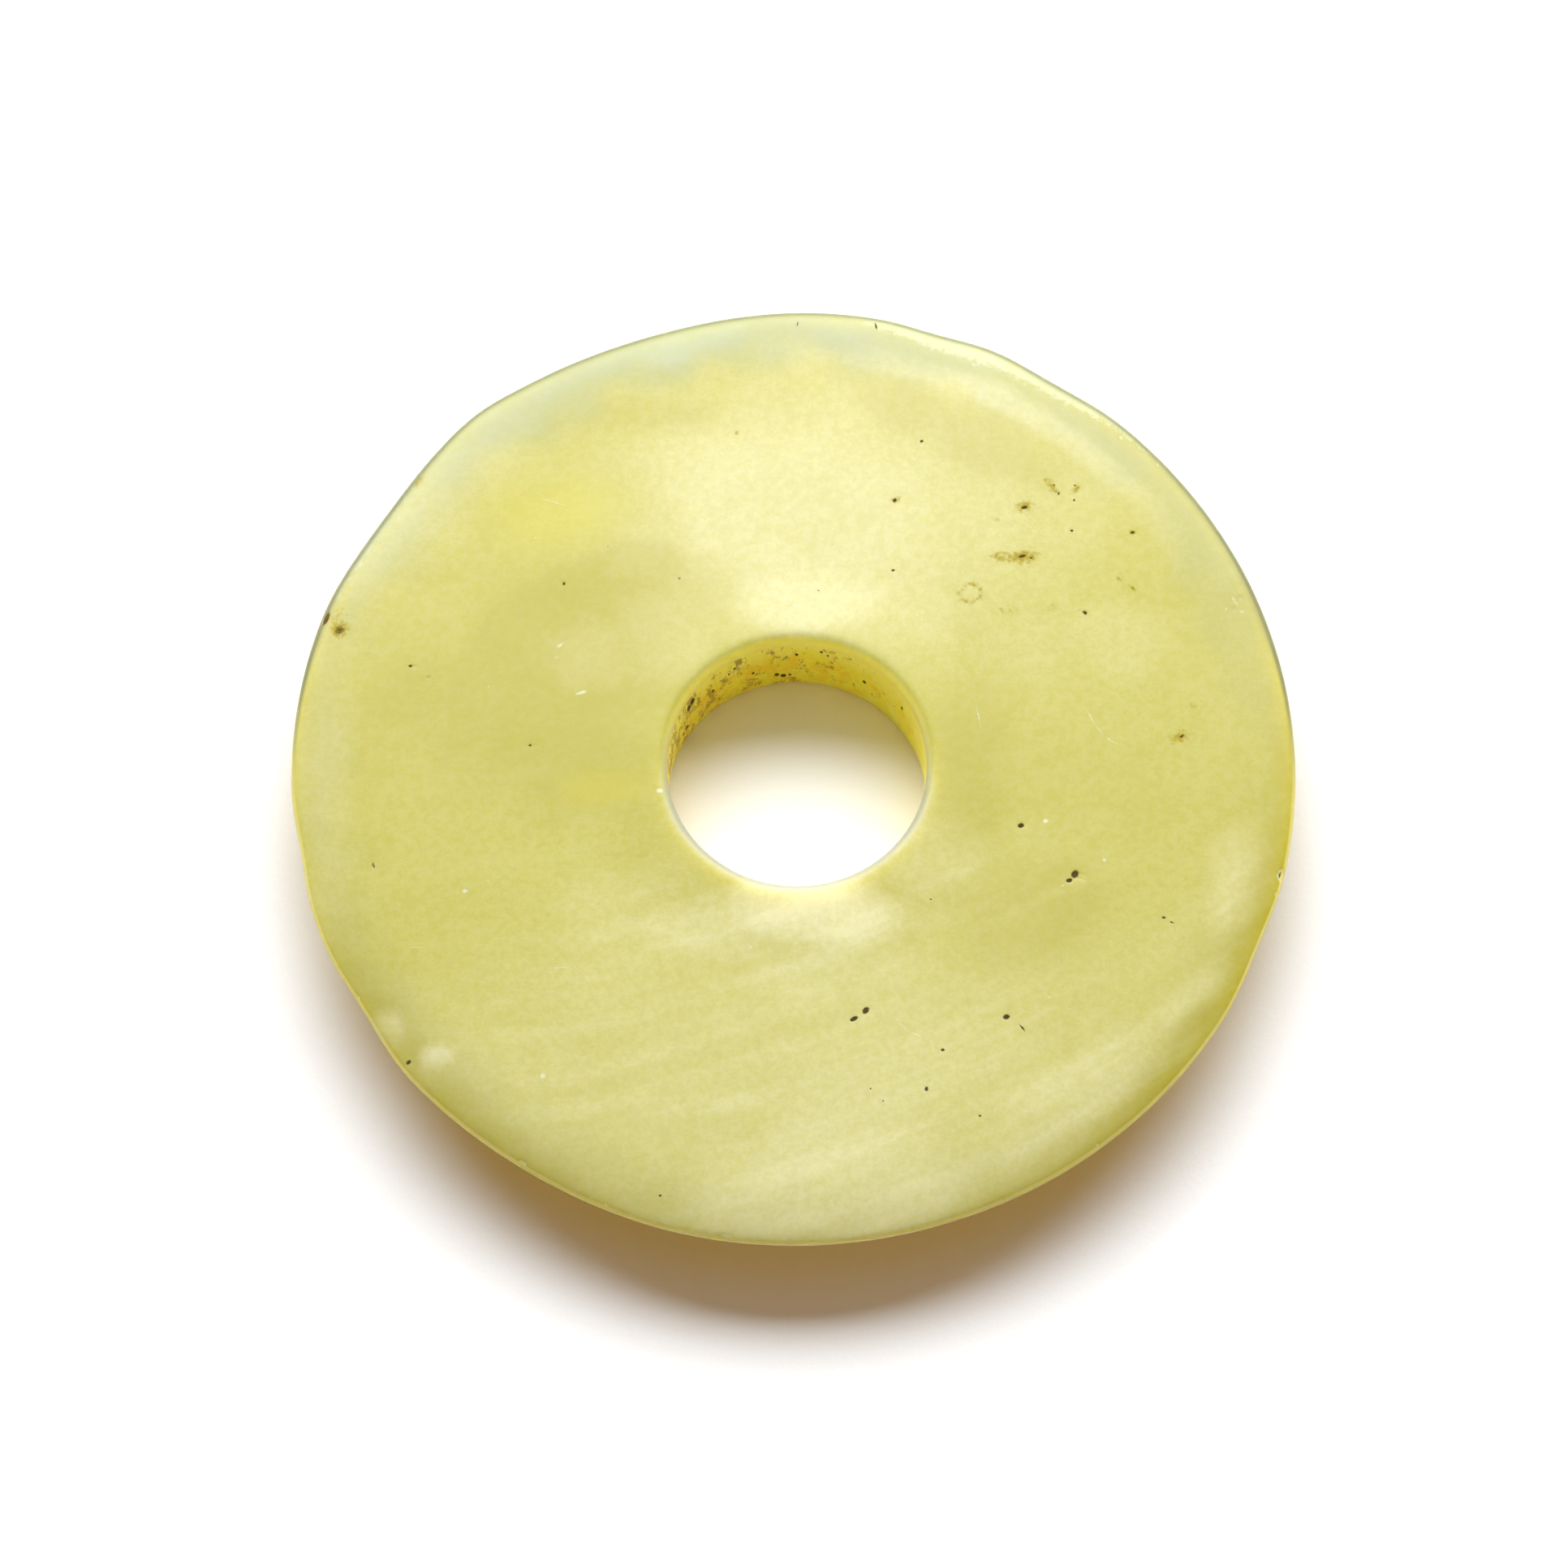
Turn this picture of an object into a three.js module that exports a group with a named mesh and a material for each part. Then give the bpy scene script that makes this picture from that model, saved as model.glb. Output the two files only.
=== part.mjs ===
// A plain bi disc of yellow-green jade: a polished round of stone, pierced by one round hole.
// It is thickest in a low crest about the hole and thins to a narrow rim, worn and out of true.
// Millimetres, +Z up. The origin is where the hole's axis meets the surface that the disc lies on.

import * as THREE from "three";
import { mergeVertices } from "three/addons/utils/BufferGeometryUtils.js";

// The whole disc
const THICKNESS = 6.4; // at the crests about the hole
const OUTLINE_RADIUS = 27.55; // before the rim was worn
const OUTLINE_SHIFT = 0.18; // how far the outline's centre lies to -X of the hole's axis

// The hole, drilled from both faces, so that it is narrowest at its waist
const WAIST_RADIUS = 7.0;
const WALL_FLARE = 0.12; // how much wider the wall is at its two ends than at its waist
const SHOULDER_RADIUS = 0.55; // the rounding between the wall and either face

// The rim
const RIM_HEIGHT = 4.7; // the middle of the edge, above the resting plane
const RIM_THICKNESS = 0.8;
const RIM_HALF_TURN = THREE.MathUtils.degToRad(72); // how far the edge rounds over, each way

// The upper face: a soft collar about the hole, a very low dome, and a bevel down to the rim
const COLLAR_WIDTH = 4.0;
const COLLAR_DROP = 0.25;
const BEVEL_WIDTH = 2.6;
const BEVEL_DROP = 0.35;

// The underside: a flat ring that the disc rests on, then a rounder dome
const REST_RING_WIDTH = 1.4;
const UNDER_POWER = 1.6;

// Places where the rim was ground, chipped or worn back, by angle from +X about +Z, in degrees.
// Each is a smooth dip of the given depth, which dies out at reach on either side.
const RIM_WEAR = [
  { angle: 58, reach: 9, depth: 0.22 },
  { angle: 73, reach: 7, depth: 0.2 },
  { angle: 108, reach: 24, depth: 0.3 },
  { angle: 129, reach: 7, depth: -0.14 }, // a corner that stands proud between two flats
  { angle: 146, reach: 15, depth: 0.36 },
  { angle: 190, reach: 7, depth: 0.2 },
  { angle: 211, reach: 9, depth: 0.26 },
  { angle: 238, reach: 22, depth: 0.16 },
  { angle: 338, reach: 10, depth: 0.2 },
];
const WEAR_WIDTH = 6; // how far in from the rim the surface follows the wear

// How finely the smooth surface is divided
const SECTORS = 128;
const ARC_STEPS = 4;
const WALL_STEPS = 4;
const FACE_STEPS = 10;

const crestRadius = WAIST_RADIUS + WALL_FLARE + SHOULDER_RADIUS;
const rimRadius = OUTLINE_RADIUS - (RIM_THICKNESS / 2) * (1 - Math.cos(RIM_HALF_TURN));
const rimRise = (RIM_THICKNESS / 2) * Math.sin(RIM_HALF_TURN);

function fraction(value, from, to) {
  return THREE.MathUtils.clamp((value - from) / (to - from), 0, 1);
}

// Heights of the two faces above the resting plane, at a distance from the hole's axis.
function upperHeight(radius) {
  const collar = THREE.MathUtils.smoothstep(radius, crestRadius, crestRadius + COLLAR_WIDTH);
  const bevel = fraction(radius, rimRadius - BEVEL_WIDTH, rimRadius) ** 2;
  const domeDrop = THICKNESS - COLLAR_DROP - BEVEL_DROP - (RIM_HEIGHT + rimRise);
  const dome = fraction(radius, crestRadius, rimRadius) ** 2;
  return THICKNESS - COLLAR_DROP * collar - domeDrop * dome - BEVEL_DROP * bevel;
}

function underHeight(radius) {
  const dome = fraction(radius, crestRadius + REST_RING_WIDTH, rimRadius) ** UNDER_POWER;
  return (RIM_HEIGHT - rimRise) * dome;
}

// Points of an arc about a centre, from one angle to another, both ends included.
function arc(centreX, centreY, radius, from, to, steps) {
  const points = [];
  for (let step = 0; step <= steps; step++) {
    const angle = THREE.MathUtils.lerp(from, to, step / steps);
    points.push(
      new THREE.Vector2(centreX + radius * Math.cos(angle), centreY + radius * Math.sin(angle)),
    );
  }
  return points;
}

// Points along a face, closer together near the hole and the rim, where it curves most.
// Both ends are left out.
function face(height, innerRadius) {
  const points = [];
  for (let step = 1; step < FACE_STEPS; step++) {
    const share = (1 - Math.cos((step / FACE_STEPS) * Math.PI)) / 2;
    const radius = THREE.MathUtils.lerp(innerRadius, rimRadius, share);
    points.push(new THREE.Vector2(radius, height(radius)));
  }
  return points;
}

// The hole's wall from its upper to its lower end, bowed in to the waist. Both ends are left out.
function wall() {
  const points = [];
  for (let step = 1; step < WALL_STEPS; step++) {
    const share = step / WALL_STEPS;
    const height = THREE.MathUtils.lerp(THICKNESS - SHOULDER_RADIUS, SHOULDER_RADIUS, share);
    points.push(new THREE.Vector2(WAIST_RADIUS + WALL_FLARE * (2 * share - 1) ** 2, height));
  }
  return points;
}

// The closed outline that is turned about the axis: out beneath, over the top and down the hole.
function profile() {
  const half = Math.PI / 2;
  const upperShoulder = THICKNESS - SHOULDER_RADIUS;
  const edgeRadius = OUTLINE_RADIUS - RIM_THICKNESS / 2;
  const ringRadius = crestRadius + REST_RING_WIDTH;
  const points = [
    ...arc(crestRadius, SHOULDER_RADIUS, SHOULDER_RADIUS, -Math.PI, -half, ARC_STEPS),
    new THREE.Vector2(ringRadius, 0),
    ...face(underHeight, ringRadius),
    ...arc(edgeRadius, RIM_HEIGHT, RIM_THICKNESS / 2, -RIM_HALF_TURN, RIM_HALF_TURN, ARC_STEPS),
    ...face(upperHeight, crestRadius).reverse(),
    ...arc(crestRadius, upperShoulder, SHOULDER_RADIUS, half, Math.PI, ARC_STEPS),
    ...wall(),
  ];
  points.push(points[0].clone());
  return points;
}

// How far the rim is worn back at an angle about the axis, in degrees.
function wearAt(degrees) {
  let depth = 0;
  for (const place of RIM_WEAR) {
    const away = Math.abs(THREE.MathUtils.euclideanModulo(degrees - place.angle + 180, 360) - 180);
    if (away < place.reach) {
      depth += (place.depth / 2) * (1 + Math.cos((Math.PI * away) / place.reach));
    }
  }
  return depth;
}

// Moves the outer part of the turned shape inwards where the rim is worn, and all of it off centre.
function wearRim(geometry) {
  const position = geometry.getAttribute("position");
  for (let index = 0; index < position.count; index++) {
    const x = position.getX(index);
    const y = position.getY(index);
    const radius = Math.hypot(x, y);
    const angle = THREE.MathUtils.radToDeg(Math.atan2(y, x));
    const worn = fraction(radius, rimRadius - WEAR_WIDTH, rimRadius) ** 2 * wearAt(angle);
    const shift = OUTLINE_SHIFT * fraction(radius, crestRadius + REST_RING_WIDTH, rimRadius);
    const scale = (radius - worn) / radius;
    position.setXY(index, x * scale - shift, y * scale);
  }
}

// A turned shape standing on +Z, with its seam closed and its faces outwards.
function turned(points) {
  const geometry = new THREE.LatheGeometry(points, SECTORS);
  geometry.rotateX(Math.PI / 2);
  geometry.deleteAttribute("normal");
  geometry.deleteAttribute("uv");
  return mergeVertices(geometry, 1e-4);
}

function jadeDisc() {
  const geometry = turned(profile());
  wearRim(geometry);
  geometry.computeVertexNormals();
  const jade = new THREE.MeshStandardMaterial({ color: 0xd9d184, roughness: 0.3, metalness: 0 });
  const disc = new THREE.Mesh(geometry, jade);
  disc.name = "jade_disc";
  return disc;
}

const biDisc = new THREE.Group();
biDisc.add(jadeDisc());

export default biDisc;
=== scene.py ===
"""Dresses a packed jade bi disc: the finish of its stone, the wear on it, and a plain pale stage."""

import math
import random

import bmesh
import bpy
import numpy as np
from bpy.props import FloatProperty, FloatVectorProperty, IntProperty, PointerProperty
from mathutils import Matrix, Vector, noise
from mathutils.bvhtree import BVHTree


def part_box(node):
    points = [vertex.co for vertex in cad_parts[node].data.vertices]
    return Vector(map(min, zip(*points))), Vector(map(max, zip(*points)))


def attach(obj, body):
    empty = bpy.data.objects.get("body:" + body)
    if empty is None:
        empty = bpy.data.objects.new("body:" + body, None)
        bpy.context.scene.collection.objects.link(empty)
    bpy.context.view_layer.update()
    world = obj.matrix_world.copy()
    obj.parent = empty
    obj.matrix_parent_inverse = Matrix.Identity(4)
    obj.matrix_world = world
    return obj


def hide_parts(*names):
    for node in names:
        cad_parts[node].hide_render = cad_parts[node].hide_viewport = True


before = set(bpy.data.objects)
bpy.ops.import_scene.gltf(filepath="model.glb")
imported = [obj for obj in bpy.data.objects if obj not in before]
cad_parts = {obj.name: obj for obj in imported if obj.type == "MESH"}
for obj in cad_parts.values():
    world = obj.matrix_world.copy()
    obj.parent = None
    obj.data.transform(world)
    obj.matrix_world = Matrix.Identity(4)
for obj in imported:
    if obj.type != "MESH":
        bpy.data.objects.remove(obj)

bl_info = {
    "name": "Jade Bi Disc",
    "version": (1, 0, 0),
    "blender": (4, 5, 0),
    "location": "View3D > Sidebar > Bi Disc",
    "description": "Makes the stone of a plain jade bi disc and the stage that it lies on",
    "category": "Object",
}

MM = 0.001
NODE = "jade_disc"
WELD = 1e-6

solid_low, solid_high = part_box(NODE)
THICKNESS = solid_high[2] - solid_low[2]
OUTER_RADIUS = (solid_high[0] - solid_low[0]) / 2


# ---------------------------------------------------------------- settings


class StoneSettings(bpy.types.PropertyGroup):
    """How finely the stone is divided, and how far its surface strays from the turned form."""

    smoothing: IntProperty(
        name="Smoothing", description="How often the solid's faces are divided", default=2, min=0, max=3
    )
    wave_height: FloatProperty(
        name="Wave height",
        description="Height of the slow waves that hand grinding left",
        default=0.015 * MM,
        unit="LENGTH",
        precision=6,
    )
    wave_length: FloatProperty(
        name="Wave length", description="Distance between those waves", default=7 * MM, unit="LENGTH"
    )
    nicks: IntProperty(name="Nicks", description="Small nicks all round the rim", default=34, min=0)
    marks_beneath: IntProperty(
        name="Marks beneath", description="Pits and pale bruises on the underside", default=46, min=0
    )


class JadeSettings(bpy.types.PropertyGroup):
    """Colours of the jade, and how it takes light."""

    body: FloatVectorProperty(
        name="Body", description="Yellow-green of most of the stone", subtype="COLOR", default=(0.445, 0.413, 0.057)
    )
    # Pale also paints a sheen inside the far rim and about the hole.
    pale: FloatVectorProperty(
        name="Pale", description="Milky clouds and wisps", subtype="COLOR", default=(0.68, 0.655, 0.38)
    )
    # Olive also paints the shade on the rim's bevel.
    olive: FloatVectorProperty(
        name="Olive", description="Darker clouds in the stone", subtype="COLOR", default=(0.36, 0.315, 0.005)
    )
    amber: FloatVectorProperty(
        name="Amber", description="Warmer, golden clouds", subtype="COLOR", default=(0.56, 0.50, 0.05)
    )
    cool: FloatVectorProperty(
        name="Cool", description="Greyer green near the rim", subtype="COLOR", default=(0.22, 0.255, 0.11)
    )
    # Ochre, wall olive and wall gold stand near full brightness: the wall's real staining with a painted glow of light
    # through the stone.
    ochre: FloatVectorProperty(
        name="Ochre", description="Stain on the wall of the hole", subtype="COLOR", default=(1.0, 0.87, 0.04)
    )
    wall_olive: FloatVectorProperty(
        name="Wall olive", description="Greener patches of that wall", subtype="COLOR", default=(1.0, 0.89, 0.13)
    )
    wall_gold: FloatVectorProperty(
        name="Wall gold", description="Deeper stain in patches of that wall", subtype="COLOR", default=(1.0, 0.70, 0.008)
    )
    weathered: FloatVectorProperty(
        name="Weathered", description="Whitened stone along part of the rim", subtype="COLOR", default=(0.48, 0.52, 0.36)
    )
    grime: FloatVectorProperty(
        name="Grime", description="Brown mottling on that wall", subtype="COLOR", default=(0.32, 0.16, 0.0)
    )
    # The lip colours are painted light: a highlight on the near lip of the hole and a glow on its far lip.
    lip_painted_glint: FloatVectorProperty(
        name="Light lip", description="Worn edge of the hole on its near side", subtype="COLOR", default=(0.33, 0.35, 0.37)
    )
    lip_painted_glow: FloatVectorProperty(
        name="Dark lip", description="Edge of the hole on its far side", subtype="COLOR", default=(1.0, 0.905, 0.22)
    )
    soil: FloatVectorProperty(
        name="Soil", description="Dark soil in the pits", subtype="COLOR", default=(0.05, 0.028, 0.0)
    )
    rust: FloatVectorProperty(
        name="Rust", description="Golden-brown stains", subtype="COLOR", default=(0.36, 0.27, 0.015)
    )
    bruise: FloatVectorProperty(
        name="Bruise", description="Whitish stone where it is chipped", subtype="COLOR", default=(0.66, 0.68, 0.52)
    )
    # The two edge colours are painted light: a highlight along the rim's near edge and shade along its far edge.
    edge_painted_glint: FloatVectorProperty(
        name="Light edge", description="Worn edge of the rim on its near side", subtype="COLOR", default=(0.62, 0.54, 0.20)
    )
    edge_painted_shade: FloatVectorProperty(
        name="Dark edge", description="Edge of the rim on its far side", subtype="COLOR", default=(0.12, 0.145, 0.105)
    )
    depth: FloatProperty(
        name="Depth", description="How far light travels inside the stone", default=3 * MM, unit="LENGTH"
    )
    glow: FloatVectorProperty(
        name="Glow",
        description="Tint of the light that gets out at each face of the stone, near the rim",
        subtype="COLOR",
        default=(0.37, 0.245, 0.045),
    )
    inner_glow: FloatVectorProperty(
        name="Inner glow",
        description="The same for the thick stone about the hole",
        subtype="COLOR",
        default=(0.27, 0.22, 0.09),
    )


class StageSettings(bpy.types.PropertyGroup):
    """The floor, the lights and the camera."""

    floor_size: FloatProperty(name="Floor size", description="Width of the floor", default=3.0, unit="LENGTH")
    floor_colour: FloatVectorProperty(
        name="Floor", description="Colour of the floor", subtype="COLOR", default=(0.88, 0.88, 0.88)
    )
    sky_strength: FloatProperty(
        name="Sky", description="Strength of the even light from all sides", default=0.06
    )
    lamp_width: FloatProperty(name="Lamp width", description="Width of the main lamp", default=1.4, unit="LENGTH")
    lamp_height: FloatProperty(name="Lamp height", description="Height of the main lamp", default=0.5, unit="LENGTH")
    lamp_distance: FloatProperty(
        name="Lamp distance", description="From the disc to either lamp", default=0.75, unit="LENGTH"
    )
    lamp_elevation: FloatProperty(
        name="Lamp elevation",
        description="Height of the main lamp above the horizon",
        default=math.radians(48),
        subtype="ANGLE",
    )
    lamp_azimuth: FloatProperty(
        name="Lamp azimuth",
        description="Direction of the main lamp, from +X about +Z",
        default=math.radians(90),
        subtype="ANGLE",
    )
    lamp_power: FloatProperty(name="Lamp power", description="Power of the main lamp, in watts", default=14.6)
    top_width: FloatProperty(
        name="Top lamp width", description="Width of the soft lamp overhead", default=0.6, unit="LENGTH"
    )
    top_power: FloatProperty(name="Top lamp power", description="Power of that lamp, in watts", default=0.5)
    view_elevation: FloatProperty(
        name="View elevation",
        description="Height of the camera above the horizon",
        default=math.radians(68.3),
        subtype="ANGLE",
    )
    view_distance: FloatProperty(
        name="View distance", description="From the disc to the camera", default=0.8, unit="LENGTH"
    )
    view_width: FloatProperty(
        name="View width", description="Width of the picture at the disc", default=86 * MM, unit="LENGTH"
    )


# ---------------------------------------------------------------- where the marks are

# Soft ovals in the stone, seen from above, in millimetres and degrees:
# x, y, half length, half width, turn, strength, and how soft its one side is where that is crisper.
MILK_ZONES = (
    (3.0, 15.5, 11.5, 9.0, 0, 0.46),
    (0.0, 15.2, 9.0, 6.6, 0, 0.66),
    # These two, just beyond and just before the hole, are pale stone with a painted sheen on it.
    (0.8, 9.7, 5.2, 2.2, 0, 0.74),
    (0.8, -8.8, 4.6, 1.9, 0, 1.0),
    (1.5, -12.5, 5.5, 3.2, 0, 0.42),
    (1.0, -28.0, 27.0, 17.5, 0, 0.4),
    (1.6, -24.5, 9.5, 4.6, 4, 0.64),
    (14.5, -20.0, 7.0, 3.0, 40, 0.5),
    (-7.2, 25.2, 2.0, 1.0, 15, 0.7),
    (-11.4, 6.6, 2.6, 1.9, 0, 0.3),
    (-9.3, -8.8, 4.4, 3.0, 20, 0.22),
    (-15.0, -14.0, 4.6, 2.2, 16, 0.2),
    (-22.0, -15.0, 1.3, 0.75, -50, 0.9),
    (-19.5, -16.9, 0.85, 0.75, 0, 0.85),
    (23.9, -7.2, 3.4, 1.4, 75, 0.4),
    (-7.0, 8.0, 3.0, 3.0, 0, 0.35),
    (-19.8, 16.3, 5.2, 2.4, 50, 0.22),
    (-25.6, -2.0, 7.5, 1.5, 88, 0.15),
    (12.0, 7.5, 4.0, 3.0, 0, 0.22),
    (-4.0, -9.7, 4.5, 2.2, 0, 0.5),
    (7.7, -5.6, 2.4, 2.6, 0, 0.28),
    (21.5, -14.0, 3.4, 1.4, 57, 0.36),
    (17.0, 7.5, 3.2, 2.0, 0, 0.25),
)
OLIVE_ZONES = (
    (-12.2, 6.0, 9.0, 5.3, 42, 0.3, 0.07),
    (-19.6, 4.0, 4.6, 2.6, 20, 0.25),
    (-8.2, 20.8, 3.6, 1.0, 4, 0.25),
    (-11.5, 0.0, 4.8, 3.2, 0, 0.3),
    (12.5, -9.0, 4.4, 3.0, 20, 0.3),
    (9.2, 0.0, 2.4, 4.6, 0, 0.26),
    (8.6, 20.0, 6.5, 1.6, -28, 0.26),
)
AMBER_ZONES = (
    (-13.0, 15.0, 3.6, 2.0, 10, 0.6),
    (-10.8, -1.4, 2.4, 1.1, 0, 0.7),
    (26.2, 6.0, 2.8, 0.8, 102, 0.3),
)
# Bands along the rim of the upper face. At each angle about the axis, in degrees: how strong, or how wide.
RIM_COOL = ((0, 0.1), (25, 0.4), (45, 0.5), (62, 0.5), (90, 0.85), (115, 0.9), (130, 0.7), (145, 0.3), (166, 0.25), (184, 0.15))
RIM_COOL_WIDTH = 4.2
# Painted shade on the rim's bevel where it turns from the lamp, mostly on the near side and inside the far right.
RIM_PAINTED_SHADE = (
    (12, 0.2),
    (30, 0.15),
    (50, 0.45),
    (76, 0.45),
    (90, 0.1),
    (140, 0.0),
    (198, 0.1),
    (212, 0.55),
    (236, 0.55),
    (250, 0.15),
    (285, 0.15),
    (300, 0.3),
    (318, 0.6),
    (336, 0.6),
    (352, 0.5),
)
# Painted sheen: a pale line inside the far right of the rim, where the bevel begins.
RIM_PAINTED_SHEEN = ((26, 0.0), (36, 0.2), (50, 0.56), (64, 0.72), (78, 0.65), (92, 0.3), (105, 0.0))
RIM_PAINTED_SHEEN_INSET, RIM_PAINTED_SHEEN_WIDTH = 2.7, 0.9
RIM_FLAKED = ((38, 0.0), (46, 0.35), (53, 0.65), (60, 0.9), (70, 1.2), (77, 0.9), (82, 0.5), (86, 0.0))
RIM_WHITENED = RIM_FLAKED + ((134, 0.0), (142, 0.3), (150, 0.5), (157, 0.4), (161, 0.0))
RIM_CHALKY = (
    (0, 0.0),
    (30, 0.1),
    (60, 0.3),
    (85, 0.5),
    (110, 0.5),
    (135, 0.4),
    (152, 0.36),
    (160, 0.15),
    (165, 0.05),
    (185, 0.15),
    (225, 0.08),
    (270, 0.0),
)


# Marks on the upper face, in millimetres and degrees: x, y, half length, half width, turn, strength.
PITS = (
    (12.24, -3.64, 0.15, 0.11, 30, 1.0),
    (15.17, -6.45, 0.2, 0.16, 60, 1.0),
    (14.86, -6.82, 0.15, 0.1, 20, 1.0),
    (20.0, -8.9, 0.12, 0.08, 0, 0.8),
    (20.4, -9.15, 0.07, 0.05, 0, 0.8),
    (3.74, -14.42, 0.19, 0.13, 50, 1.0),
    (3.1, -14.9, 0.2, 0.1, 30, 1.0),
    (11.39, -14.75, 0.16, 0.12, 20, 1.0),
    (12.24, -15.35, 0.06, 0.05, 0, 0.9),
    (7.92, -16.67, 0.1, 0.08, 0, 0.9),
    (7.03, -18.9, 0.11, 0.08, 80, 1.0),
    (4.0, -18.9, 0.06, 0.05, 0, 0.8),
    (4.67, -19.6, 0.06, 0.05, 0, 0.8),
    (9.92, -20.4, 0.07, 0.06, 0, 0.9),
    (-21.2, 5.9, 0.1, 0.07, 0, 0.9),
    (-12.8, 10.7, 0.09, 0.07, 70, 0.9),
    (-10.4, 12.9, 0.05, 0.04, 0, 0.7),
    (-6.45, 10.97, 0.07, 0.05, 0, 0.8),
    (-14.6, 1.1, 0.1, 0.08, 0, 0.75),
    (-21.1, -17.1, 0.14, 0.1, 40, 0.9),
    (-7.4, -24.9, 0.09, 0.07, 0, 0.8),
    (-23.1, -5.8, 0.28, 0.05, 105, 0.7),
    (-25.9, 9.0, 0.32, 0.13, 70, 1.0),
    (-25.15, 8.2, 0.45, 0.42, 0, 0.62),
    (-24.75, 9.1, 0.16, 0.12, 0, 0.52),
    (12.55, 15.3, 0.16, 0.09, 20, 0.9),
    (12.4, 12.35, 0.2, 0.08, 15, 0.9),
    (12.9, 12.25, 0.1, 0.06, 0, 0.8),
    (5.4, 15.68, 0.13, 0.09, 40, 0.9),
    (14.2, 16.68, 0.08, 0.06, 0, 0.7),
    (14.45, 16.18, 0.12, 0.07, 60, 0.75),
    (15.35, 16.68, 0.1, 0.06, 30, 0.75),
    (15.3, 15.78, 0.1, 0.06, 80, 0.75),
    (15.15, 13.93, 0.07, 0.06, 0, 1.0),
    (18.5, 13.88, 0.11, 0.08, 0, 0.9),
    (5.3, 11.45, 0.08, 0.06, 0, 1.0),
    (15.84, 9.0, 0.15, 0.1, -30, 0.8),
    (6.9, 19.28, 0.1, 0.08, 0, 0.85),
    (18.5, 10.5, 0.12, 0.06, -30, 0.6),
    (21.1, 1.75, 0.16, 0.08, 40, 0.75),
    (26.45, -6.1, 0.28, 0.12, 75, 0.7),
    (0.05, 26.6, 0.22, 0.05, 80, 0.7),
    (4.4, 26.5, 0.26, 0.06, 100, 0.8),
    (1.2, 10.2, 0.05, 0.04, 0, 0.8),
    (7.3, -8.0, 0.06, 0.05, 0, 0.8),
)
STAINS = (
    (12.6, 15.38, 0.42, 0.3, 20, 0.95),
    (12.4, 12.3, 0.75, 0.32, 5, 1.0),
    (11.2, 12.3, 0.55, 0.28, 0, 0.75),
    (11.0, 14.58, 0.25, 0.18, 0, 0.5),
    (5.4, 15.68, 0.28, 0.2, 0, 0.7),
    (14.1, 16.58, 0.55, 0.2, -50, 0.75),
    (15.4, 16.48, 0.3, 0.2, 40, 0.75),
    (13.9, 9.2, 0.4, 0.25, 0, 0.5),
    (11.7, 9.1, 0.6, 0.3, 0, 0.45),
    (15.8, 9.05, 0.28, 0.18, -30, 0.7),
    (17.7, 11.1, 0.25, 0.18, -40, 0.6),
    (18.5, 10.5, 0.3, 0.16, -30, 0.65),
    (18.5, 13.88, 0.2, 0.15, 0, 0.7),
    (-3.3, 19.78, 0.14, 0.12, 0, 0.6),
    (-20.9, 17.1, 0.4, 0.18, 60, 0.8),
    (21.0, 1.7, 0.5, 0.3, 20, 0.8),
    (21.7, 3.5, 0.3, 0.22, 0, 0.6),
    (-25.15, 8.25, 0.45, 0.4, 0, 1.0),
    (-25.3, 9.0, 0.5, 0.22, 60, 0.6),
    (-20.3, 5.3, 0.3, 0.15, 10, 0.45),
)
BRUISES = (
    (13.6, -3.35, 0.15, 0.11, 20, 1.0),
    (16.8, -5.6, 0.12, 0.1, 0, 0.9),
    (14.5, -7.15, 0.12, 0.06, 30, 0.7),
    (-11.8, 4.2, 0.32, 0.1, 18, 0.9),
    (-12.6, 5.2, 0.12, 0.08, 0, 0.5),
    (-13.0, 7.0, 0.26, 0.1, 35, 0.8),
    (-13.2, 6.3, 0.1, 0.06, 0, 0.7),
    (-16.9, 4.6, 0.12, 0.08, 0, 0.6),
    (-14.4, 13.48, 0.08, 0.06, 0, 0.6),
    (-18.1, -7.4, 0.14, 0.11, 0, 0.9),
    (-16.8, -6.8, 0.3, 0.05, 15, 0.5),
    (-7.5, -1.7, 0.17, 0.12, -20, 1.0),
    (-13.8, -18.1, 0.14, 0.12, 0, 0.9),
    (-13.3, -17.5, 0.06, 0.05, 0, 0.7),
    (-2.5, -10.8, 0.1, 0.09, 0, 0.7),
    (0.7, -21.6, 0.1, 0.08, 0, 0.6),
    (13.7, -13.6, 0.2, 0.06, 10, 0.6),
    (24.1, 9.9, 0.4, 0.12, -60, 0.62),
    (24.5, 9.3, 0.2, 0.1, 20, 0.6),
    (23.6, 9.4, 0.2, 0.08, 60, 0.55),
    (-12.9, -11.9, 1.1, 0.07, 3, 0.55),
    (-20.8, -10.6, 1.0, 0.07, -4, 0.45),
    (-5.8, 6.4, 0.2, 0.08, 40, 0.4),
)

# Thin scratches on the upper face: their points, in millimetres.
SCRATCHES = (
    ((15.9, 3.2), (16.3, 2.4), (16.8, 1.7), (17.6, 1.15)),
    ((5.4, -15.0), (6.1, -15.6), (6.9, -16.0)),
    ((-14.2, 15.9), (-12.7, 15.4)),
    ((9.8, 3.5), (10.1, 2.1)),
)
SCRATCH_WIDTH = 0.06

# Small round marks that are only a ring: x, y, radius.
RING_MARKS = ((9.57, 10.1, 0.58),)

# Chips along the rim: angle about the axis in degrees, how far in from the edge, width, depth.
CHIPS = (
    (160.9, 0.25, 0.9, 0.05),
    (140.6, 0.4, 0.7, 0.02),
    (-13.0, 0.1, 0.9, 0.12),
    (-123.0, 0.1, 0.7, 0.06),
    (-98.0, 0.1, 0.8, 0.06),
    (22.5, 0.9, 0.6, 0.02),
    (21.3, 1.5, 0.5, 0.02),
)
RAGGED_FLAKES = 30  # along the flaked stretch

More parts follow.
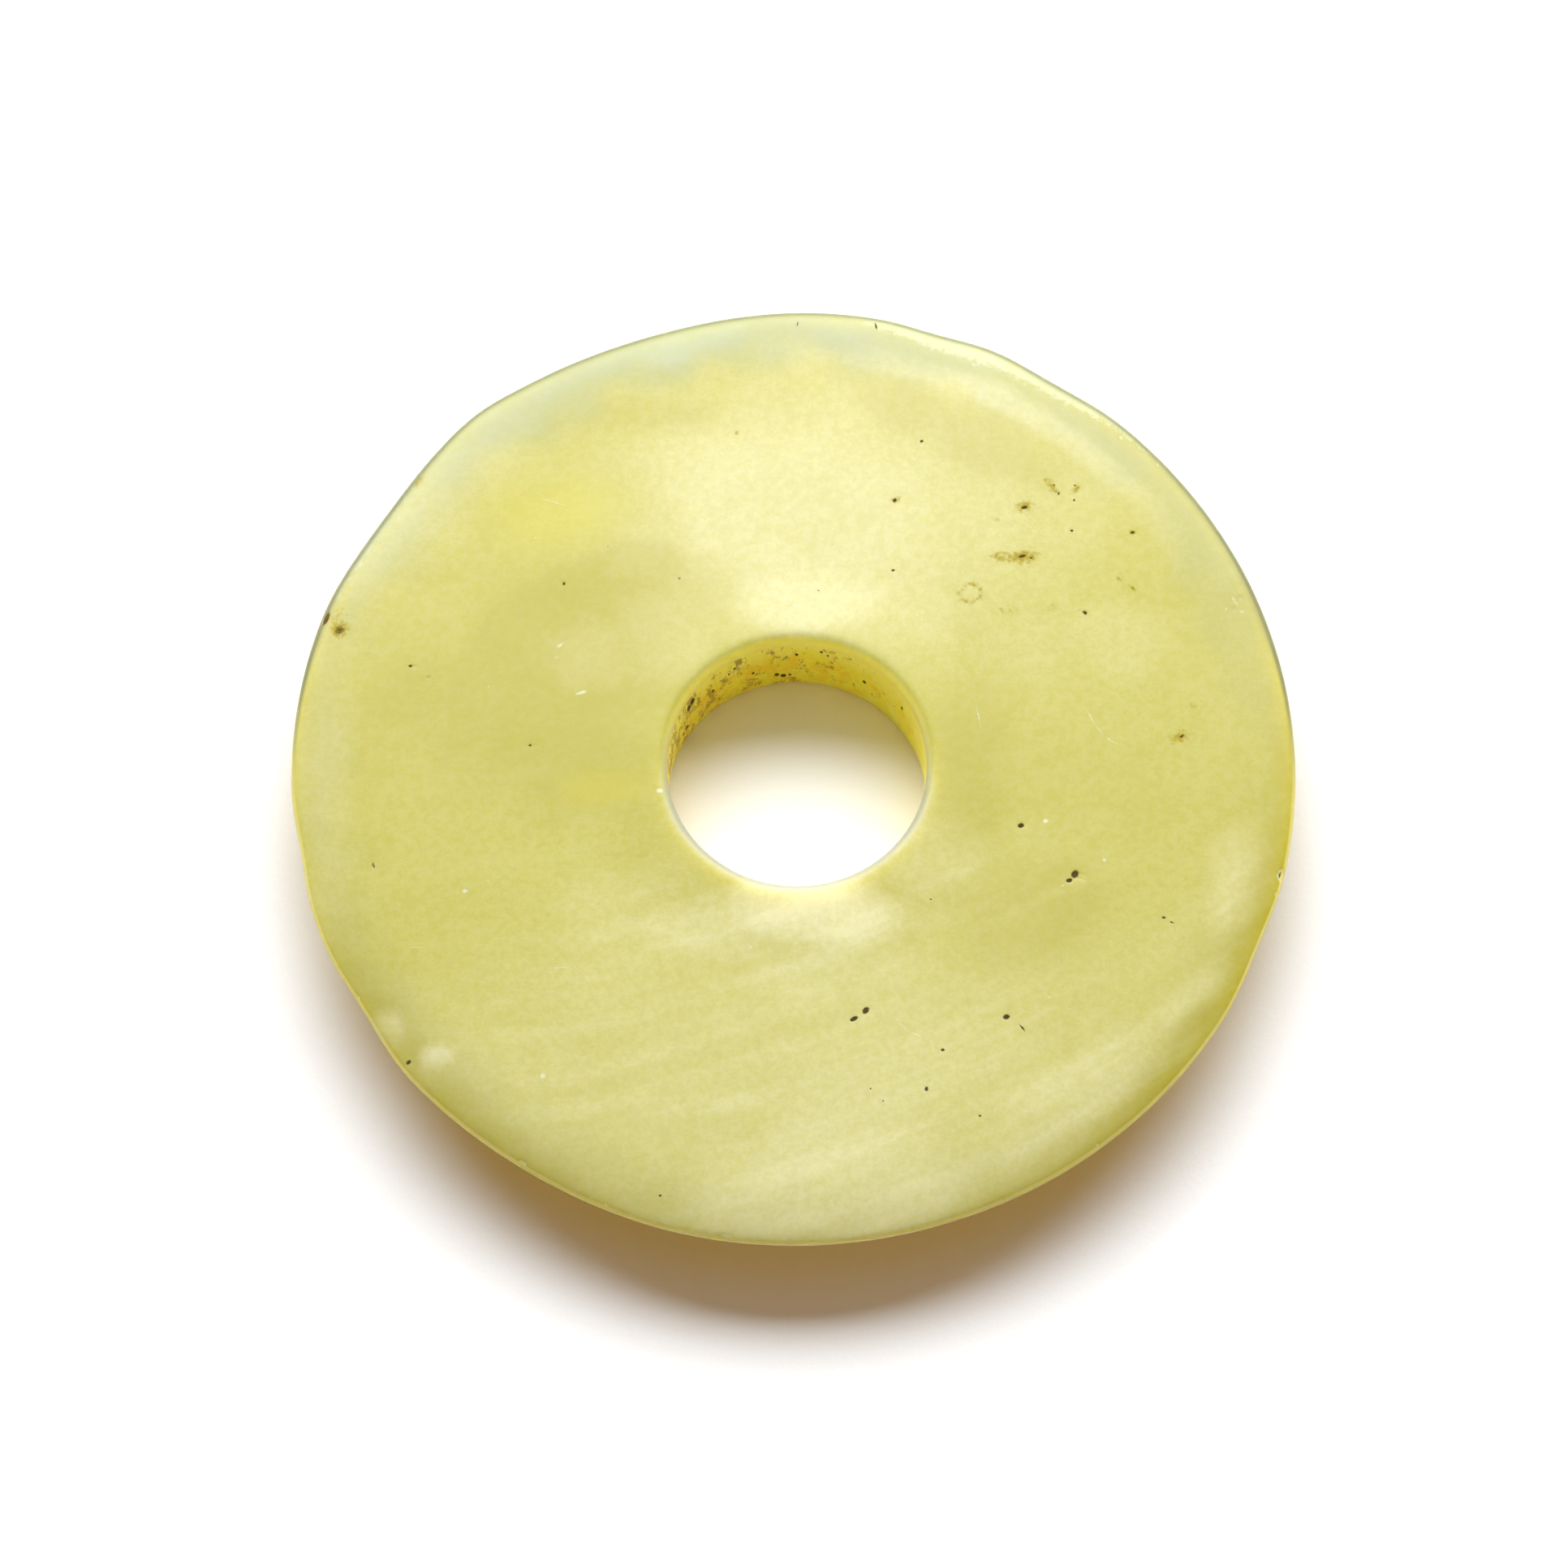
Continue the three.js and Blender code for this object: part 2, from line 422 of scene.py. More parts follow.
# Specks of soil in the hole: angle about the axis in degrees, height above the floor, size.
HOLE_SPECKS = (
    (144, 4.9, 0.17),
    (147, 4.7, 0.15),
    (149, 2.4, 0.13),
    (152, 2.2, 0.11),
    (99, 1.9, 0.12),
    (96, 1.6, 0.14),
    (93, 1.7, 0.08),
    (90, 4.6, 0.08),
    (119, 4.7, 0.07),
    (122, 4.4, 0.06),
    (79, 5.2, 0.07),
    (76, 4.9, 0.06),
    (110, 3.0, 0.08),
    (131, 3.6, 0.09),
    (58, 3.3, 0.1),
    (35, 4.2, 0.09),
)


# ---------------------------------------------------------------- the stone's form


def divided_solid(node, levels):
    """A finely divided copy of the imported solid, made of quads and smoothed."""
    bm = bmesh.new()
    bm.from_mesh(node.data)
    bmesh.ops.remove_doubles(bm, verts=bm.verts, dist=WELD)
    bmesh.ops.join_triangles(
        bm, faces=bm.faces, angle_face_threshold=math.radians(60), angle_shape_threshold=math.radians(60)
    )
    mesh = bpy.data.meshes.new("jade_stone")
    bm.to_mesh(mesh)
    bm.free()
    piece = bpy.data.objects.new("jade_stone", mesh)
    bpy.context.collection.objects.link(piece)
    smooth = piece.modifiers.new("smooth", "SUBSURF")
    smooth.levels = levels
    graph = bpy.context.evaluated_depsgraph_get()
    piece.data = bpy.data.meshes.new_from_object(piece.evaluated_get(graph))
    piece.modifiers.clear()
    bpy.data.meshes.remove(mesh)
    piece.data.name = "jade_stone"
    return piece


def positions(mesh):
    flat = np.empty(len(mesh.vertices) * 3, dtype=np.float32)
    mesh.vertices.foreach_get("co", flat)
    return flat.reshape(-1, 3).astype(float)


def normals(mesh):
    flat = np.empty(len(mesh.vertices) * 3, dtype=np.float32)
    mesh.vertices.foreach_get("normal", flat)
    return flat.reshape(-1, 3).astype(float)


def move_to(mesh, points):
    mesh.vertices.foreach_set("co", points.astype(np.float32).ravel())
    mesh.update()


def direction(azimuth, elevation):
    """A unit vector towards an azimuth from +X and an elevation above the horizon."""
    flat = math.cos(elevation)
    return Vector((flat * math.cos(azimuth), flat * math.sin(azimuth), math.sin(elevation)))


class Surface:
    """Finds places on the stone's surface: each is a point and the direction that it faces."""

    def __init__(self, bm):
        self.tree = BVHTree.FromBMesh(bm)

    def hit(self, start, towards):
        point, normal, _, _ = self.tree.ray_cast(start, towards)
        if point is None:
            raise RuntimeError(f"no stone at {tuple(start)}")
        return point, normal

    def above(self, x, y):
        return self.hit(Vector((x * MM, y * MM, 20 * MM)), Vector((0, 0, -1)))

    def beneath(self, x, y):
        return self.hit(Vector((x * MM, y * MM, -20 * MM)), Vector((0, 0, 1)))

    def in_hole(self, angle, height):
        return self.hit(Vector((0, 0, height * MM)), direction(math.radians(angle), 0))

    def at_rim(self, angle, inset, beneath=False):
        """A place on either side of the rim, a little way in from its edge."""
        outwards = direction(math.radians(angle), 0)
        side = Vector((0, 0, -20 * MM if beneath else 20 * MM))
        away = OUTER_RADIUS * 1.1
        while self.tree.ray_cast(outwards * away + side, -side.normalized())[0] is None:
            away -= 0.04 * MM
        return self.hit(outwards * (away - inset * MM) + side, -side.normalized())


class Mark:
    """An oval mark on the surface. Its level falls from 1 at the middle through 0.5 at its edge."""

    def __init__(self, place, length, width, turn=0.0, strength=1.0, ring=0.0):
        self.point, self.normal = place
        self.length, self.width = length * MM, width * MM
        self.strength, self.ring = strength, ring * MM
        flat = direction(math.radians(turn), 0)
        if abs(self.normal.z) < 0.5:
            flat = Vector((-self.normal.y, self.normal.x, 0))
        self.along = (flat - self.normal * flat.dot(self.normal)).normalized()
        self.across = self.normal.cross(self.along)

    @property
    def reach(self):
        return max(self.length, self.width) * 2 + self.ring

    @property
    def fineness(self):
        return max(0.45 * min(self.length, self.width), 0.038 * MM)

    def covers(self, points, margin):
        """Which points lie on the mark or within a margin of it."""
        offset = points - np.array(self.point)
        u, v, w = (offset @ np.array(axis) for axis in (self.along, self.across, self.normal))
        if self.ring:
            return np.abs(np.hypot(u, v) - self.ring) + np.abs(w) < self.width * 1.6 + margin
        return np.hypot(u / (self.length * 1.6 + margin), v / (self.width * 1.6 + margin)) + np.abs(w) / self.reach < 1

    def levels(self, points):
        """Which points the mark reaches, and how strongly."""
        offset = points - np.array(self.point)
        near = np.flatnonzero((offset**2).sum(1) < self.reach**2)
        u = offset[near] @ np.array(self.along)
        v = offset[near] @ np.array(self.across)
        if self.ring:
            far = np.abs(np.hypot(u, v) - self.ring) / self.width
        else:
            far = np.hypot(u / self.length, v / self.width)
        return near, np.clip(1 - far / 2, 0, 1) * self.strength


class Flake:
    """A shallow shell-shaped hollow where a flake of stone has come away."""

    def __init__(self, place, width, depth, tilt=Vector((0, 0, 0))):
        self.point, normal = place
        facing = (normal + tilt).normalized()
        self.width = width * MM
        self.radius = (width * width / 4 + depth * depth) / (2 * depth) * MM
        self.centre = self.point + facing * (self.radius - depth * MM)

    @property
    def reach(self):
        return self.width * 0.7

    @property
    def fineness(self):
        return max(0.18 * self.width, 0.08 * MM)

    def covers(self, points, margin):
        """Which points lie on the flake or within a margin of it."""
        return np.sqrt(((points - np.array(self.point)) ** 2).sum(1)) < self.reach + margin

    def carve(self, points):
        """Which points are carved away, and by how much."""
        inside = self.radius - np.sqrt(((points - np.array(self.centre)) ** 2).sum(1))
        close = ((points - np.array(self.point)) ** 2).sum(1) < (self.width * 1.2) ** 2
        near = np.flatnonzero((inside > 0) & close)
        return near, inside[near]


def refine(bm, spots, passes=5):
    """Divides the edges about each spot until they are as short as it needs."""
    for _ in range(passes):
        bm.edges.ensure_lookup_table()
        ends = np.array([(*e.verts[0].co, *e.verts[1].co) for e in bm.edges])
        middle = (ends[:, :3] + ends[:, 3:]) / 2
        length = np.sqrt(((ends[:, :3] - ends[:, 3:]) ** 2).sum(1))
        too_long = np.zeros(len(length), dtype=bool)
        for spot in spots:
            long = np.flatnonzero(length > spot.fineness * 1.5)
            too_long[long] |= spot.covers(middle[long], 0.3 * length[long])
        if not too_long.any():
            return
        chosen = [bm.edges[i] for i in np.flatnonzero(too_long)]
        bmesh.ops.subdivide_edges(bm, edges=chosen, cuts=1, use_grid_fill=True)
        many_sided = [face for face in bm.faces if len(face.verts) > 4]
        bmesh.ops.triangulate(bm, faces=many_sided)


def ground_waves(points, height, length):
    """The slow, uneven waves of a surface ground and polished by hand."""
    return np.array([height * noise.fractal(Vector(p) / length, 1.0, 2.0, 2) for p in points])


def face_marks(surface):
    """The marks of the upper face and the hole, by what they are."""
    marks = {
        "soil": [Mark(surface.above(x, y), 1.2 * length, 1.2 * width, *rest) for x, y, length, width, *rest in PITS],
        "rust": [Mark(surface.above(x, y), *rest) for x, y, *rest in STAINS],
        "bruise": [Mark(surface.above(x, y), *rest) for x, y, *rest in BRUISES],
    }
    for points in SCRATCHES:
        for (x0, y0), (x1, y1) in zip(points, points[1:]):
            place = surface.above((x0 + x1) / 2, (y0 + y1) / 2)
            half = math.hypot(x1 - x0, y1 - y0) / 2
            turn = math.degrees(math.atan2(y1 - y0, x1 - x0))
            marks["bruise"].append(Mark(place, half * 1.15, SCRATCH_WIDTH, turn, 0.62))
    for x, y, radius in RING_MARKS:
        marks["rust"].append(Mark(surface.above(x, y), 0.16, 0.16, ring=radius, strength=0.53))
    for angle, height, size in HOLE_SPECKS:
        marks["soil"].append(Mark(surface.in_hole(angle, height), size * 1.1, size * 2.0))
    return marks


def scattered_marks(surface, count):
    """Marks of the same kinds on the underside."""
    chance = random.Random(11)
    marks = {"soil": [], "rust": [], "bruise": []}
    for _ in range(count):
        kind = chance.choice(("soil", "soil", "bruise", "rust"))
        away = math.sqrt(chance.uniform(0.13, 0.95)) * OUTER_RADIUS / MM
        angle = chance.uniform(0, 2 * math.pi)
        size = chance.uniform(0.06, 0.16) * (2.2 if kind == "rust" else 1)
        place = surface.beneath(away * math.cos(angle), away * math.sin(angle))
        stretch = chance.uniform(1, 1.8)
        marks[kind].append(Mark(place, size * stretch, size, chance.uniform(0, 180), chance.uniform(0.7, 1)))
    return marks


def rim_flakes(surface, nicks):
    """The chips of the rim: the large ones, a stretch flaked all along, and small nicks all round."""
    chance = random.Random(5)
    flakes = [Flake(surface.at_rim(angle, inset), width, depth) for angle, inset, width, depth in CHIPS]
    for _ in range(RAGGED_FLAKES):
        angle = chance.uniform(RIM_FLAKED[0][0], RIM_FLAKED[-1][0])
        band = float(along_rim(angle, RIM_FLAKED))
        width = chance.uniform(0.3, 0.4 + 0.4 * band)
        inset = width * 0.7 + chance.uniform(0, band)
        flakes.append(Flake(surface.at_rim(angle, inset), width, chance.uniform(0.01, 0.025)))
    for _ in range(nicks):
        place = surface.at_rim(chance.uniform(0, 360), chance.uniform(0.0, 0.12), chance.random() < 0.4)
        flakes.append(Flake(place, chance.uniform(0.25, 0.5), chance.uniform(0.02, 0.045)))
    return flakes


def along_rim(angle, stops):
    """A band's strength or width at angles about the axis."""
    return np.interp(angle, [stop[0] for stop in stops], [stop[1] for stop in stops], period=360)


def smooth(rise):
    rise = np.clip(rise, 0, 1)
    return rise * rise * (3 - 2 * rise)


def rim_inset(points):
    """Angle about the axis, in degrees, and distance in from the rim, in millimetres, of each point."""
    angle = np.degrees(np.arctan2(points[:, 1], points[:, 0])) % 360
    away = np.hypot(points[:, 0], points[:, 1]) / MM
    reach = np.zeros(180)
    np.maximum.at(reach, (angle / 2).astype(int), away)
    return angle, np.interp(angle, np.arange(180) * 2 + 1, reach, period=360) - away


def zone_levels(points, zones, blur, seed):
    """How strongly soft ovals colour each point. Their edges wander, and are sharper for a low blur."""
    x = points[:, 0] / MM
    y = points[:, 1] / MM
    drift = np.array([noise.noise_vector(Vector((a * 0.32, b * 0.32, seed))) for a, b in zip(x, y)])
    x = x + 1.0 * drift[:, 0]
    y = y + 0.8 * drift[:, 1]
    levels = np.zeros(len(points))
    for middle_x, middle_y, length, width, turn, strength, *crisp in zones:
        c, s = math.cos(math.radians(turn)), math.sin(math.radians(turn))
        u = ((x - middle_x) * c + (y - middle_y) * s) / length
        v = ((y - middle_y) * c - (x - middle_x) * s) / width
        soft = np.where(v > 0, crisp[0], blur) if crisp else blur
        levels = np.maximum(levels, strength * smooth((1 + soft - np.hypot(u, v)) / (2 * soft)))
    return levels


def write_zones(mesh, points, outwards):
    """Writes how strongly each tint of the stone shows at each point. Some are painted light: a sheen line inside the
    far rim, shade on the rim's bevel, and the rim's edge, which the shader paints lighter near the viewer and darker on
    the far side.
    """
    angle, inset = rim_inset(points)
    upper = np.clip(outwards[:, 2] * 4, 0, 1)
    wander = np.array([noise.noise(Vector(p) * 450) for p in points])
    milk_and_sheen = zone_levels(points, MILK_ZONES, 0.6, 1.5)
    olive = zone_levels(points, OLIVE_ZONES, 0.45, 7.5)
    # Painted sheen along the start of the bevel inside the far rim.
    pale = along_rim(angle, RIM_PAINTED_SHEEN) * smooth(1.4 - np.abs(inset + wander * 0.4 - RIM_PAINTED_SHEEN_INSET) / RIM_PAINTED_SHEEN_WIDTH)
    # Painted shade on the rim's bevel, laid into the olive level with the clouds.
    brown = along_rim(angle, RIM_PAINTED_SHADE)
    band = brown * smooth(1.15 - (inset + wander * 0.6) / (1.0 + 1.8 * brown)) * upper
    cool = along_rim(angle, RIM_COOL) * smooth(1.1 - (inset + wander) / RIM_COOL_WIDTH)
    # The rim's edge, which the shader paints lighter near the viewer and darker on the far side.
    steep = np.interp(points[:, 1], (-8 * MM, 8 * MM), (0.8, 0.965))
    upward = outwards[:, 2]
    edge = (inset < 2) * np.clip((steep - upward) / 0.08, 0, 1) * np.clip((upward - 0.15) / 0.25, 0, 1)
    write_levels(mesh, "milk_and_sheen", np.maximum(milk_and_sheen, pale * upper))
    write_levels(mesh, "olive", np.maximum(olive, band))
    write_levels(mesh, "amber", zone_levels(points, AMBER_ZONES, 0.7, 13.5))
    write_levels(mesh, "cool", cool)
    write_levels(mesh, "chalky", along_rim(angle, RIM_CHALKY) * smooth(1.0 - (inset + wander) / 4.0) * upper)
    write_levels(mesh, "edge", edge)
    whitened = along_rim(angle, RIM_WHITENED)
    write_levels(mesh, "weathered", np.clip(0.5 + (whitened - inset) / 0.8, 0, 1) * (whitened > 0) * upper)


def write_levels(mesh, name, levels):
    layer = mesh.attributes.new(name, "FLOAT", "POINT")
    layer.data.foreach_set("value", levels.astype(np.float32))


def make_stone(settings):
    piece = divided_solid(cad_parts[NODE], settings.smoothing)
    mesh = piece.data

    bm = bmesh.new()
    bm.from_mesh(mesh)
    surface = Surface(bm)
    marks = face_marks(surface)
    for kind, more in scattered_marks(surface, settings.marks_beneath).items():
        marks[kind] += more
    flakes = rim_flakes(surface, settings.nicks)
    refine(bm, [mark for kind in marks.values() for mark in kind] + flakes)
    bm.to_mesh(mesh)
    bm.free()

    points, outwards = positions(mesh), normals(mesh)
    write_zones(mesh, points, outwards)
    levels = {kind: np.zeros(len(points)) for kind in marks}
    dips = np.zeros(len(points))
    for kind, group in marks.items():
        for mark in group:
            near, level = mark.levels(points)
            levels[kind][near] = np.maximum(levels[kind][near], level)
            if kind == "soil":
                deepest = 0.35 * min(mark.width, 0.2 * MM)
                dips[near] = np.maximum(dips[near], deepest * np.clip(level * 1.6 - 0.5, 0, 1))
    carved = np.zeros(len(points))
    for flake in flakes:
        near, depth = flake.carve(points)
        carved[near] = np.maximum(carved[near], depth)
    chipped = 0.6 * np.clip(carved / (0.03 * MM), 0, 1)
    levels["bruise"] = np.maximum(levels["bruise"], chipped)
    for kind, level in levels.items():
        write_levels(mesh, kind, level)

    rise = ground_waves(points, settings.wave_height, settings.wave_length)
    rise *= np.clip(points[:, 2] / (0.5 * MM), 0, 1)
    move_to(mesh, points + outwards * (rise - dips - carved)[:, None])
    mesh.shade_smooth()
    return piece


# ---------------------------------------------------------------- wiring of shader nodes


def fill(tree, node, inputs):
    """Sets a node's inputs, by name or number, each to a value or to another node's output."""
    for key, value in inputs.items():
        if isinstance(value, bpy.types.NodeSocket):
            tree.links.new(value, node.inputs[key])
        else:
            node.inputs[key].default_value = value
    return node


def put(tree, kind, inputs=None, **settings):
    node = tree.nodes.new(kind)
    for name, value in settings.items():
        setattr(node, name, value)
    return fill(tree, node, inputs or {})


def maths(tree, operation, *values, clamp=False):
    inputs = dict(enumerate(values))
    return put(tree, "ShaderNodeMath", inputs, operation=operation, use_clamp=clamp).outputs[0]


def times(tree, first, second):
    return maths(tree, "MULTIPLY", first, second)


def plus(tree, first, second):
    return maths(tree, "ADD", first, second)


def blend(tree, share, first, second):
    """One colour turning into another by a share."""
    node = put(tree, "ShaderNodeMix", data_type="RGBA")
    return fill(tree, node, {0: share, 6: first, 7: second}).outputs[2]


def ramp(tree, value, low, high, to_low=0.0, to_high=1.0):
    """A value turned into another range by a smooth step, and held at its ends."""
    inputs = {"Value": value, "From Min": low, "From Max": high, "To Min": to_low, "To Max": to_high}
    return put(tree, "ShaderNodeMapRange", inputs, interpolation_type="SMOOTHSTEP").outputs[0]


def cloudy(tree, vector, scale, detail=2.0, roughness=0.5):
    inputs = {"Vector": vector, "Scale": scale, "Detail": detail, "Roughness": roughness}
    return put(tree, "ShaderNodeTexNoise", inputs).outputs["Fac"]


def in_millimetres(tree, place):
    return put(tree, "ShaderNodeVectorMath", {0: place, 3: 1 / MM}, operation="SCALE").outputs[0]


def level_of(tree, name):
    return put(tree, "ShaderNodeAttribute", attribute_name=name).outputs["Fac"]


def new_group(name, inputs, outputs):
    """A node group with named sockets: each is a name and a kind, and an input may have a default."""
    group = bpy.data.node_groups.new(name, "ShaderNodeTree")
    for socket, kind, *default in inputs:
        made = group.interface.new_socket(socket, in_out="INPUT", socket_type="NodeSocket" + kind)
        if default:
            made.default_value = default[0]
    for socket, kind in outputs:
        group.interface.new_socket(socket, in_out="OUTPUT", socket_type="NodeSocket" + kind)
    return group, group.nodes.new("NodeGroupInput").outputs, group.nodes.new("NodeGroupOutput").inputs


def place_group(tree, group, **inputs):
    node = put(tree, "ShaderNodeGroup", node_tree=group)
    return fill(tree, node, {name.capitalize(): value for name, value in inputs.items()}).outputs


# ---------------------------------------------------------------- effects of the stone


def clouds_group():
    """Broad clouds and fine wisps inside the stone. The wisps run in long curved lines."""
    group, given, result = new_group(
        "stone_clouds", [("Position", "Vector")], [("Cloud", "Float"), ("Wisp", "Float"), ("Grain", "Float")]
    )
    metric = in_millimetres(group, given["Position"])
    place = put(group, "ShaderNodeSeparateXYZ", {0: metric}).outputs
    slope = maths(group, "MULTIPLY_ADD", place["X"], 0.0092, 0.32)
    across = maths(group, "SUBTRACT", place["Y"], times(group, slope, place["X"]))
    stretched = {
        "X": times(group, place["X"], 0.13),
        "Y": times(group, across, 0.9),
        "Z": times(group, place["Z"], 0.25),
    }
    lines = put(group, "ShaderNodeCombineXYZ", stretched).outputs[0]
    near = ramp(group, place["Y"], 6.0, -12.0, 0.15, 1.0)
    fine = cloudy(group, lines, 0.62, 5.0, 0.58)
    broad = cloudy(group, metric, 0.14, 4.0, 0.6)
    group.links.new(ramp(group, broad, 0.38, 0.66), result["Cloud"])
    group.links.new(times(group, near, ramp(group, fine, 0.36, 0.74)), result["Wisp"])
    group.links.new(cloudy(group, metric, 2.2, 5.0, 0.75), result["Grain"])
    return group


def ragged_group():
    """Turns the smooth level of a mark into a spot with an uneven, crisp edge."""
    sockets = [
        ("Position", "Vector"),
        ("Level", "Float"),
        ("Scale", "Float", 9000.0),
        ("Ragged", "Float", 0.3),
        ("Soft", "Float", 0.08),
    ]
    group, given, result = new_group("ragged_spot", sockets, [("Spot", "Float")])
    off = maths(group, "SUBTRACT", cloudy(group, given["Position"], given["Scale"], 3.0, 0.6), 0.5)
    level = maths(group, "MULTIPLY_ADD", off, given["Ragged"], given["Level"])
    low = maths(group, "SUBTRACT", 0.5, given["Soft"])
    high = plus(group, given["Soft"], 0.5)
    group.links.new(ramp(group, level, low, high), result["Spot"])
    return group


def hole_group():
    """The hole: its lip, where a highlight is painted on the near side and a glow on the far side, its near brink,
    where shade is painted, its wall and the ochre-stained patches on it, the soil and the rings of the drill on that
    wall.
    """
    names = ("Lip", "Brink", "Wall", "Stain", "Gold", "Soil", "Rings")
    group, given, result = new_group(
        "drilled_wall", [("Position", "Vector"), ("Radius", "Float", 7.55)], [(name, "Float") for name in names]
    )
    metric = in_millimetres(group, given["Position"])
    place = put(group, "ShaderNodeSeparateXYZ", {0: metric}).outputs
    flat = put(group, "ShaderNodeCombineXYZ", {"X": place["X"], "Y": place["Y"]}).outputs[0]
    away = put(group, "ShaderNodeVectorMath", {0: flat}, operation="LENGTH").outputs["Value"]
    nearer = ramp(group, place["Y"], 1.0, -4.0)
    within = maths(group, "SUBTRACT", given["Radius"], away)
    lip = ramp(group, plus(group, within, times(group, nearer, 0.4)), 0.0, plus(group, times(group, nearer, 0.4), 0.4))
    wall = times(group, lip, ramp(group, place["Z"], 5.8, 5.5))
    brink = times(group, times(group, lip, nearer), ramp(group, place["Z"], 6.04, 5.97))
    squat = put(
        group,
        "ShaderNodeCombineXYZ",
        {"X": place["X"], "Y": place["Y"], "Z": times(group, place["Z"], 0.5)},
    ).outputs[0]
    height = ramp(group, place["Z"], 5.8, 3.4, -0.2, 0.08)
    greener = ramp(group, place["X"], 1.0, 6.0, 0.0, -0.08)
    height = plus(group, height, greener)
    patches = ramp(group, plus(group, cloudy(group, squat, 0.6, 5.0, 0.65), height), 0.38, 0.52)
    deeper = ramp(group, plus(group, cloudy(group, squat, 1.1, 6.0, 0.72), height), 0.48, 0.66, 0.0, 0.85)
    lean = times(group, place["X"], -0.009)
    dirty = ramp(group, plus(group, cloudy(group, squat, 1.4, 6.0, 0.8), lean), 0.53, 0.63)
    wobble = times(group, cloudy(group, metric, 0.5), 0.8)
    turns = maths(group, "SINE", times(group, plus(group, place["Z"], wobble), 15.0))
    group.links.new(lip, result["Lip"])
    group.links.new(brink, result["Brink"])
    group.links.new(wall, result["Wall"])
    group.links.new(patches, result["Stain"])
    group.links.new(times(group, patches, deeper), result["Gold"])
    group.links.new(times(group, wall, dirty), result["Soil"])
    group.links.new(times(group, wall, turns), result["Rings"])
    return group


def polish_group():
    """The hand polish: uneven gloss, a very fine grain and faint rubbing lines."""
    group, given, result = new_group(
        "hand_polish", [("Position", "Vector"), ("Gloss", "Float", 0.42)], [("Roughness", "Float"), ("Height", "Float")]
    )
    uneven = maths(group, "SUBTRACT", cloudy(group, given["Position"], 350.0, 4.0, 0.6), 0.5)
    group.links.new(maths(group, "MULTIPLY_ADD", uneven, 0.22, given["Gloss"]), result["Roughness"])
    turn = {"Vector": given["Position"], "Angle": math.radians(35)}
    turned = put(group, "ShaderNodeVectorRotate", turn, rotation_type="Z_AXIS").outputs[0]
    drawn = put(group, "ShaderNodeVectorMath", {0: turned, 1: (0.08, 1.0, 0.4)}, operation="MULTIPLY").outputs[0]
    rubbed = times(group, cloudy(group, drawn, 9000.0, 3.0, 0.6), 0.4)
    grain = times(group, cloudy(group, given["Position"], 4500.0, 3.0, 0.6), 0.6)
    group.links.new(plus(group, rubbed, grain), result["Height"])
    return group


# ---------------------------------------------------------------- the stone's look


